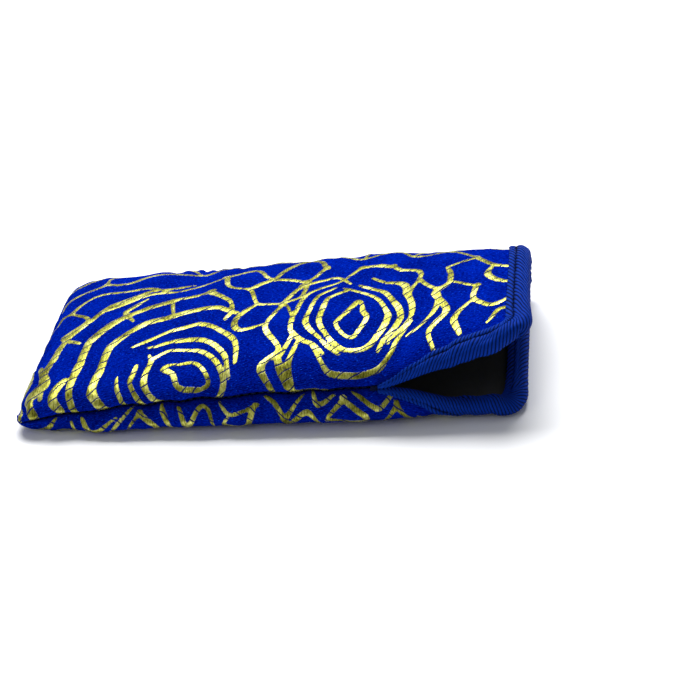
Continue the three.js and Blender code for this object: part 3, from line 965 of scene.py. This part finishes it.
def seam_stitches(name, side, start, end):
    """Stitches along one long seam, from start to end; side is -1 at the front and 1 at the back."""

    def spots(s):
        return np.array([[x - ORIGIN_X, side * (half_width(x) - 1.1), seam_height(x)] for x in s])

    count = int((end - start) / 2.6)
    s = mix(start, end, (np.arange(count) + 0.5) / count)
    out = np.tile([0.0, side, 0.0], (count, 1))
    return stitch_row(name, spots(s), spots(s + 1) - spots(s), out, 2.0, 0.28)


def bar_tack(name):
    """Close upright threads that wrap the slit's end, where the two runs of tape meet."""
    spots = SLIT_START - 3.0 + 0.55 * np.arange(7)
    centres = [[x - ORIGIN_X, -half_width(x) - 0.1, seam_height(x)] for x in spots]
    upright = [[0.12, -0.1, 1.0]] * len(spots)
    outward = [[0.0, -1.0, 0.0]] * len(spots)
    return stitch_row(name, centres, upright, outward, 2.4, THREAD_RADIUS)


# ---- building ----
brocade_upper = brocade("brocade_upper", upper_wall, UPPER_CORNER_RADIUS, upper_figure(), 98)
brocade_lower = brocade("brocade_lower", lower_wall, LOWER_CORNER_RADIUS, lower_figure(), 100)
padding_upper = padding("padding_upper", upper_wall, UPPER_CORNER_RADIUS)
padding_lower = padding("padding_lower", lower_wall, LOWER_CORNER_RADIUS)
lining_upper = lining("lining_upper", upper_wall, UPPER_CORNER_RADIUS)
lining_lower = lining("lining_lower", lower_wall, LOWER_CORNER_RADIUS)
tape_upper = tape("tape_upper", upper_edge, False)
tape_lower = tape("tape_lower", lower_edge, True)
stitches_upper = tape_stitches("stitches_upper", upper_edge)
stitches_lower = tape_stitches("stitches_lower", lower_edge)
seam_front = seam_stitches("seam_front", -1, CORNER_RADIUS + 2, SLIT_START - 4)
seam_back = seam_stitches("seam_back", 1, CORNER_RADIUS + 2, LENGTH - 8)
tack = bar_tack("slit_tack")


# ---- materials ----
class Wire:
    """A socket that takes part in sums: an expression on wires adds its Math nodes."""

    def __init__(self, finish, socket):
        self.finish, self.socket = finish, socket

    def sum_with(self, operation, first, second):
        return self.finish.node("ShaderNodeMath", {"operation": operation}, {0: first, 1: second})

    def __add__(self, other):
        return self.sum_with("ADD", self, other)

    def __radd__(self, other):
        return self.sum_with("ADD", other, self)

    def __sub__(self, other):
        return self.sum_with("SUBTRACT", self, other)

    def __rsub__(self, other):
        return self.sum_with("SUBTRACT", other, self)

    def __mul__(self, other):
        return self.sum_with("MULTIPLY", self, other)

    def __rmul__(self, other):
        return self.sum_with("MULTIPLY", other, self)

    def __truediv__(self, other):
        return self.sum_with("DIVIDE", self, other)


class Finish:
    """A material in the making."""

    def __init__(self, name, **constants):
        self.material = bpy.data.materials.new(name)
        self.material.use_nodes = True
        self.tree = self.material.node_tree
        self.shader = self.tree.nodes["Principled BSDF"]
        for socket, value in constants.items():
            self.shader.inputs[socket.replace("_", " ")].default_value = value

    def node(self, kind, settings=None, sockets=None, output=0):
        made = self.tree.nodes.new(kind)
        for key, value in (settings or {}).items():
            setattr(made, key, value)
        for key, value in (sockets or {}).items():
            if isinstance(value, Wire):
                self.tree.links.new(value.socket, made.inputs[key])
            else:
                made.inputs[key].default_value = value
        return Wire(self, made.outputs[output])

    def feed(self, socket, wire):
        self.tree.links.new(wire.socket, self.shader.inputs[socket])

    def function(self, operation, value, second=0.0):
        return self.node("ShaderNodeMath", {"operation": operation}, {0: value, 1: second})

    def ramp(self, value, low, high):
        """0 at low, 1 at high, eased between; low may be above high."""
        if low > high:
            return 1.0 - self.ramp(value, high, low)
        sockets = {"Value": value, "From Min": low, "From Max": high}
        return self.node("ShaderNodeMapRange", {"interpolation_type": "SMOOTHSTEP"}, sockets)

    def blend(self, factor, first, second):
        """A mix of two colours."""
        sockets = {"Factor": factor, 6: first, 7: second}
        return self.node("ShaderNodeMix", {"data_type": "RGBA", "clamp_factor": True}, sockets, 2)

    def cloth(self):
        """The cloth coordinates in millimetres, as a vector and its two numbers."""
        place = self.node("ShaderNodeUVMap", {"uv_map": "cloth"})
        x = self.node("ShaderNodeSeparateXYZ", {}, {0: place})
        y = Wire(self, x.socket.node.outputs[1])
        return place, x, y

    def stretched(self, vector, scale):
        return self.node("ShaderNodeMapping", {"vector_type": "POINT"}, {"Vector": vector, "Scale": scale})

    def noise(self, vector, scale, detail=2.0, roughness=0.5, stretch=None):
        if stretch:
            vector = self.stretched(vector, stretch)
        sockets = {"Vector": vector, "Scale": scale, "Detail": detail, "Roughness": roughness}
        return self.node("ShaderNodeTexNoise", {"noise_dimensions": "3D"}, sockets)

    def objects(self):
        """The object's own coordinates."""
        return self.node("ShaderNodeTexCoord", {}, {}, 3)

    def bump(self, height, strength, distance):
        sockets = {"Strength": strength, "Distance": distance * MM, "Height": height}
        self.feed("Normal", self.node("ShaderNodeBump", {}, sockets))


def shade(red, green, blue):
    """A screen colour as a linear one."""
    linear = [c / 12.92 if c <= 0.04045 else ((c + 0.055) / 1.055) ** 2.4 for c in (red, green, blue)]
    return (*linear, 1.0)


BLUE_DEEP = shade(0.0, 0.02, 0.34)
BLUE = shade(0.0, 0.13, 0.64)
# the colour of the painted glints: highlights in the blue ground
BLUE_GLINT_HIGHLIGHT = shade(0.08, 0.34, 0.96)
# gold, from dark streaks mixed with painted shade, through its mid tone, to a pale painted highlight
GOLD_STREAK_AND_SHADE = shade(0.25, 0.24, 0.04)
GOLD = shade(0.58, 0.58, 0.22)
GOLD_HIGHLIGHT = shade(0.88, 0.88, 0.52)
TIE = shade(0.05, 0.09, 0.34)


def brocade_finish():
    m = Finish("blue_gold_brocade", Specular_IOR_Level=0.0)
    place, x, y = m.cloth()
    edge = m.node("ShaderNodeAttribute", {"attribute_name": "gold"}, {}, 2)
    # the edge of each figure steps from thread to thread
    step = m.noise(place, 1.0, 1.0, 0.6, (1.2, 3.4, 1.0)) - 0.5
    gold = m.ramp(edge + step * 0.55, 0.10, -0.10)
    # satin ground: fine twill with clumps, and a few painted glints, highlights painted into the colour in place of
    # the satin's sheen
    grain = m.noise(place, 1.0, 3.0, 0.7, (0.9, 1.9, 1.0))
    twill = m.function("SINE", (x * 0.8 + y * 1.9) * 5.2)
    clumps = m.noise(place, 0.09, 2.0, 0.5)
    tone = m.ramp(grain + twill * 0.06 + clumps * 0.25, 0.46, 0.82)
    ground = m.blend(tone, BLUE_DEEP, BLUE)
    # painted highlight: sparse bright glints scattered over the blue
    painted_glint = m.ramp(m.noise(place, 1.0, 0.0, 0.5, (1.3, 2.6, 1.0)), 0.70, 0.80)
    ground = m.blend(painted_glint * 0.55, ground, BLUE_GLINT_HIGHLIGHT)
    # gold yarn: streaks across, with painted shade and painted highlights in broad patches over them, and fine wavy
    # ties
    streak = m.noise(place, 1.0, 2.0, 0.7, (2.6, 0.5, 1.0))
    broad_highlight_and_shade = m.noise(place, 0.16, 1.0, 0.5)
    yarn = m.blend(m.ramp(streak * 0.7 + broad_highlight_and_shade * 0.5, 0.40, 0.64), GOLD_STREAK_AND_SHADE, GOLD)
    yarn = m.blend(m.ramp(streak * 0.6 + broad_highlight_and_shade * 0.6, 0.58, 0.84), yarn, GOLD_HIGHLIGHT)
    wave = m.noise(place, 0.13, 1.0, 0.4) * 4.0
    row = m.function("FRACT", (y - x * 0.75 + wave) / TIE_SPACING)
    tie = m.ramp(m.function("ABSOLUTE", row - 0.5), 0.085, 0.055)
    yarn = m.blend(tie * 0.95, yarn, TIE)
    # painted shade: the gold is darker along the edge of each figure, where the raised yarn rounds down
    rim = m.ramp(edge, -0.42, 0.02) * 0.35
    yarn = m.blend(rim, yarn, GOLD_STREAK_AND_SHADE)
    m.feed("Base Color", m.blend(gold, ground, yarn))
    shown = gold * (1.0 - tie * 0.9)
    m.feed("Metallic", shown * 0.85)
    m.feed("Roughness", 0.58 - gold * 0.20 + (1.0 - tone) * 0.06 - painted_glint * 0.2)
    height = (grain * 0.5 + twill * 0.10) * (1.0 - gold) + streak * gold * 0.18
    height = height + gold * 0.7 - tie * gold * 0.5
    m.bump(height, 0.55, 0.30)
    return m.material


def tape_finish():
    m = Finish("twill_tape", Specular_IOR_Level=0.02)
    place, _, around = m.cloth()
    counted = m.node("ShaderNodeAttribute", {"attribute_name": "rib"}, {}, 2)
    rib = m.function("SINE", counted * (2 * math.pi))
    grain = m.noise(place, 1.0, 3.0, 0.7, (3.2, 1.6, 1.0))
    patches = m.noise(place, 0.10, 2.0, 0.5)
    tone = m.ramp(rib * 0.62 + grain * 0.9 + patches * 0.5, -0.05, 1.35)
    # painted shade: the tape is darker in an uneven band along the groove of the stitches on its outer face
    groove_shade_wobble = m.noise(place, 1.0, 2.0, 0.6, (0.5, 0.9, 1.0))
    off = m.function("ABSOLUTE", around - STITCH_INSET + (groove_shade_wobble - 0.5) * 1.1)
    tone = tone * m.ramp(off, 0.1, 1.0)
    colour = m.blend(tone, shade(0.0, 0.01, 0.07), shade(0.03, 0.19, 0.58))
    m.feed("Base Color", colour)
    m.feed("Roughness", 0.72 - tone * 0.2)
    m.bump(rib * 0.5 + grain * 0.7, 0.6, 0.22)
    return m.material


def lining_finish():
    m = Finish("black_flannel", Specular_IOR_Level=0.2, Sheen_Weight=0.1, Sheen_Roughness=0.6)
    nap = m.noise(m.objects(), 2600.0, 3.0, 0.7)
    patches = m.noise(m.objects(), 90.0, 2.0, 0.5)
    tone = nap * 0.6 + patches * 0.4
    m.feed("Base Color", m.blend(m.ramp(tone, 0.35, 0.75), shade(0.0, 0.0, 0.0), shade(0.045, 0.04, 0.05)))
    m.feed("Roughness", 0.9 + nap * 0.1)
    m.bump(nap, 0.5, 0.2)
    return m.material


def padding_finish():
    m = Finish("foam_wadding", Specular_IOR_Level=0.2)
    cells = m.noise(m.objects(), 1500.0, 3.0, 0.7)
    m.feed("Base Color", m.blend(cells, shade(0.66, 0.62, 0.52), shade(0.86, 0.83, 0.75)))
    m.feed("Roughness", 0.85 + cells * 0.15)
    m.bump(cells, 0.5, 0.3)
    return m.material


def thread_finish():
    m = Finish("navy_thread", Specular_IOR_Level=0.1)
    ply = m.noise(m.objects(), 2400.0, 2.0, 0.6)
    m.feed("Base Color", m.blend(m.ramp(ply, 0.3, 0.7), shade(0.0, 0.01, 0.07), shade(0.01, 0.06, 0.26)))
    m.feed("Roughness", 0.5 + ply * 0.3)
    m.bump(ply, 0.4, 0.15)
    return m.material


def floor_finish():
    m = Finish("pale_floor", Specular_IOR_Level=0.2)
    drift = m.noise(m.objects(), 3.0, 2.0, 0.5)
    m.feed("Base Color", m.blend(drift, shade(0.955, 0.958, 0.965), shade(0.965, 0.966, 0.97)))
    m.shader.inputs["Roughness"].default_value = 0.8
    return m.material


FINISHES = [
    (brocade_finish(), "brocade", [brocade_upper, brocade_lower]),
    (padding_finish(), "padding", [padding_upper, padding_lower]),
    (lining_finish(), "lining", [lining_upper, lining_lower]),
    (tape_finish(), "tape", [tape_upper, tape_lower]),
    (thread_finish(), "thread", [stitches_upper, stitches_lower, seam_front, seam_back, tack]),
]
for finish, slot, pieces in FINISHES:
    for piece in pieces:
        piece.data.materials.append(finish)
        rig.slot(piece, slot)

# ---- what each piece stands for, and what it moves with ----
# The raised corner bends along a line from the slit's end to the back of the mouth.
BEND_POINT = np.array([60.0, -1.7, 20.7])
ACROSS_BEND = np.array([0.8755, -0.4823, 0.0])
BEND_FROM, BEND_TO = -3.0, 11.0
BEND_START = tuple((BEND_POINT + ACROSS_BEND * BEND_FROM) * MM)
BEND_END = tuple((BEND_POINT + ACROSS_BEND * BEND_TO) * MM)
for piece in (brocade_upper, padding_upper, lining_upper, tape_upper, stitches_upper):
    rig.blend(piece, "pouch", "upper_lip", start=BEND_START, end=BEND_END)
for piece in (brocade_lower, padding_lower, lining_lower, tape_lower, stitches_lower):
    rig.ride(piece, "pouch")
for piece in (seam_front, seam_back, tack):
    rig.ride(piece, "pouch")

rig.replaces(brocade_upper, "brocade_upper_lip")
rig.replaces(brocade_lower, "brocade_sheet")
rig.replaces(padding_upper, "padding_upper_lip")
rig.replaces(padding_lower, "padding_sheet")
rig.replaces(lining_upper, "lining_upper_lip")
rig.replaces(lining_lower, "lining_sheet")
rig.replaces(tape_upper, "upper_lip_binding", "back_corner_binding")
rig.replaces(tape_lower, "lower_lip_binding")
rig.replaces(stitches_upper, "upper_binding_thread")
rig.replaces(stitches_lower, "lower_binding_thread")
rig.replaces(seam_front, "front_seam_thread")
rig.replaces(seam_back, "back_seam_thread")
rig.replaces(tack, "slit_bar_tack")


# ---- the sheets' flat sizes ----
def cut_size(wall, end_inset, beyond):
    """The flat size and area, in metres, of a sheet that stops short of the mouth and goes beyond both long
    edges."""
    run = np.minimum(wall.runs, RUN_END - end_inset)
    widths = wall.lengths + 2 * beyond
    area = float(np.sum((widths[1:] + widths[:-1]) / 2 * np.diff(run)))
    return {"flat": (float(widths.max()) * MM, (RUN_END - end_inset) * MM), "area": area * MM * MM}


def tape_size(edge):
    """The tape's cut width and length, and the area that isn't tucked in at the slit's end."""
    t = np.linspace(0, edge.length, 400)
    shown = TAPE_AROUND - 2 * TAPE_LEG * (1 - tape_growth(t))
    area = float(np.sum((shown[1:] + shown[:-1]) / 2 * np.diff(t)))
    return {"flat": (TAPE_AROUND * MM, edge.length * MM), "area": area * MM * MM}


for wall, cloth_piece, pad, inner in (
    (upper_wall, brocade_upper, padding_upper, lining_upper),
    (lower_wall, brocade_lower, padding_lower, lining_lower),
):
    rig.sheet(cloth_piece, held="stretched", rests_on=[pad], **cut_size(wall, TAPE_REACH, TURN_IN))
    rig.sheet(inner, held="laid", rests_on=[pad], **cut_size(wall, LINING_END, 0))
    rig.padded(pad, fill=0.35)
for binding, cloth_piece, row, edge in (
    (tape_upper, brocade_upper, stitches_upper, upper_edge),
    (tape_lower, brocade_lower, stitches_lower, lower_edge),
):
    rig.sheet(binding, held="folded", rests_on=[cloth_piece], with_pieces=[row], **tape_size(edge))

# ---- floor, light and camera ----
floor_bm = bmesh.new()
bmesh.ops.create_grid(floor_bm, x_segments=2, y_segments=2, size=3.0)
floor_mesh = bpy.data.meshes.new("floor")
floor_bm.to_mesh(floor_mesh)
floor_bm.free()
floor = bpy.data.objects.new("floor", floor_mesh)
floor.data.materials.append(floor_finish())
bpy.context.collection.objects.link(floor)
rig.stage(floor)


def soft_light(name, place, target, size, power, colour=(1.0, 1.0, 1.0)):
    light = bpy.data.lights.new(name, "AREA")
    light.shape = "RECTANGLE"
    light.size, light.size_y = size
    light.energy = power
    light.color = colour
    made = bpy.data.objects.new(name, light)
    made.location = place
    made.rotation_euler = (Vector(target) - Vector(place)).to_track_quat("-Z", "Y").to_euler()
    bpy.context.collection.objects.link(made)


soft_light("overhead", (-0.1, 0.60, 0.95), (0, 0, 0), (0.95, 0.6), 23.5)
soft_light("front_left", (-0.9, -1.0, 0.9), (0, 0, 0.02), (0.6, 0.6), 2.6, (0.97, 0.98, 1.0))

scene = bpy.context.scene
world = bpy.data.worlds.new("studio")
scene.world = world
world.use_nodes = True
background = world.node_tree.nodes["Background"]
background.inputs["Color"].default_value = (0.93, 0.96, 1.0, 1.0)
background.inputs["Strength"].default_value = 0.30

scene.view_settings.view_transform = "Standard"
scene.view_settings.look = "None"

AZIMUTH, ELEVATION, ROLL = math.radians(6.16), math.radians(30.5), math.radians(-4.0)
TARGET = Vector((23.7, 0.0, 4.7)) * MM
DISTANCE = 0.5993
level = math.cos(ELEVATION)
back = Vector((math.sin(AZIMUTH) * level, -math.cos(AZIMUTH) * level, math.sin(ELEVATION)))
right = (-back).cross(Vector((0, 0, 1))).normalized()
above = right.cross(-back)
turned_right = right * math.cos(ROLL) + above * math.sin(ROLL)
turned_up = above * math.cos(ROLL) - right * math.sin(ROLL)
lens = bpy.data.cameras.new("camera")
lens.sensor_width = 36.0
lens.lens = 87.43
lens.clip_start = 0.01
camera = bpy.data.objects.new("camera", lens)
facing = Matrix((turned_right, turned_up, back)).transposed().to_4x4()
camera.matrix_world = Matrix.Translation(TARGET + back * DISTANCE) @ facing
bpy.context.collection.objects.link(camera)
scene.camera = camera

with open("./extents.json", "w") as out:
    boxes = {"cad": CAD_BOX, "visual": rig.bounds()}
    json.dump({k: [list(map(float, corner)) for corner in v] for k, v in boxes.items()}, out)
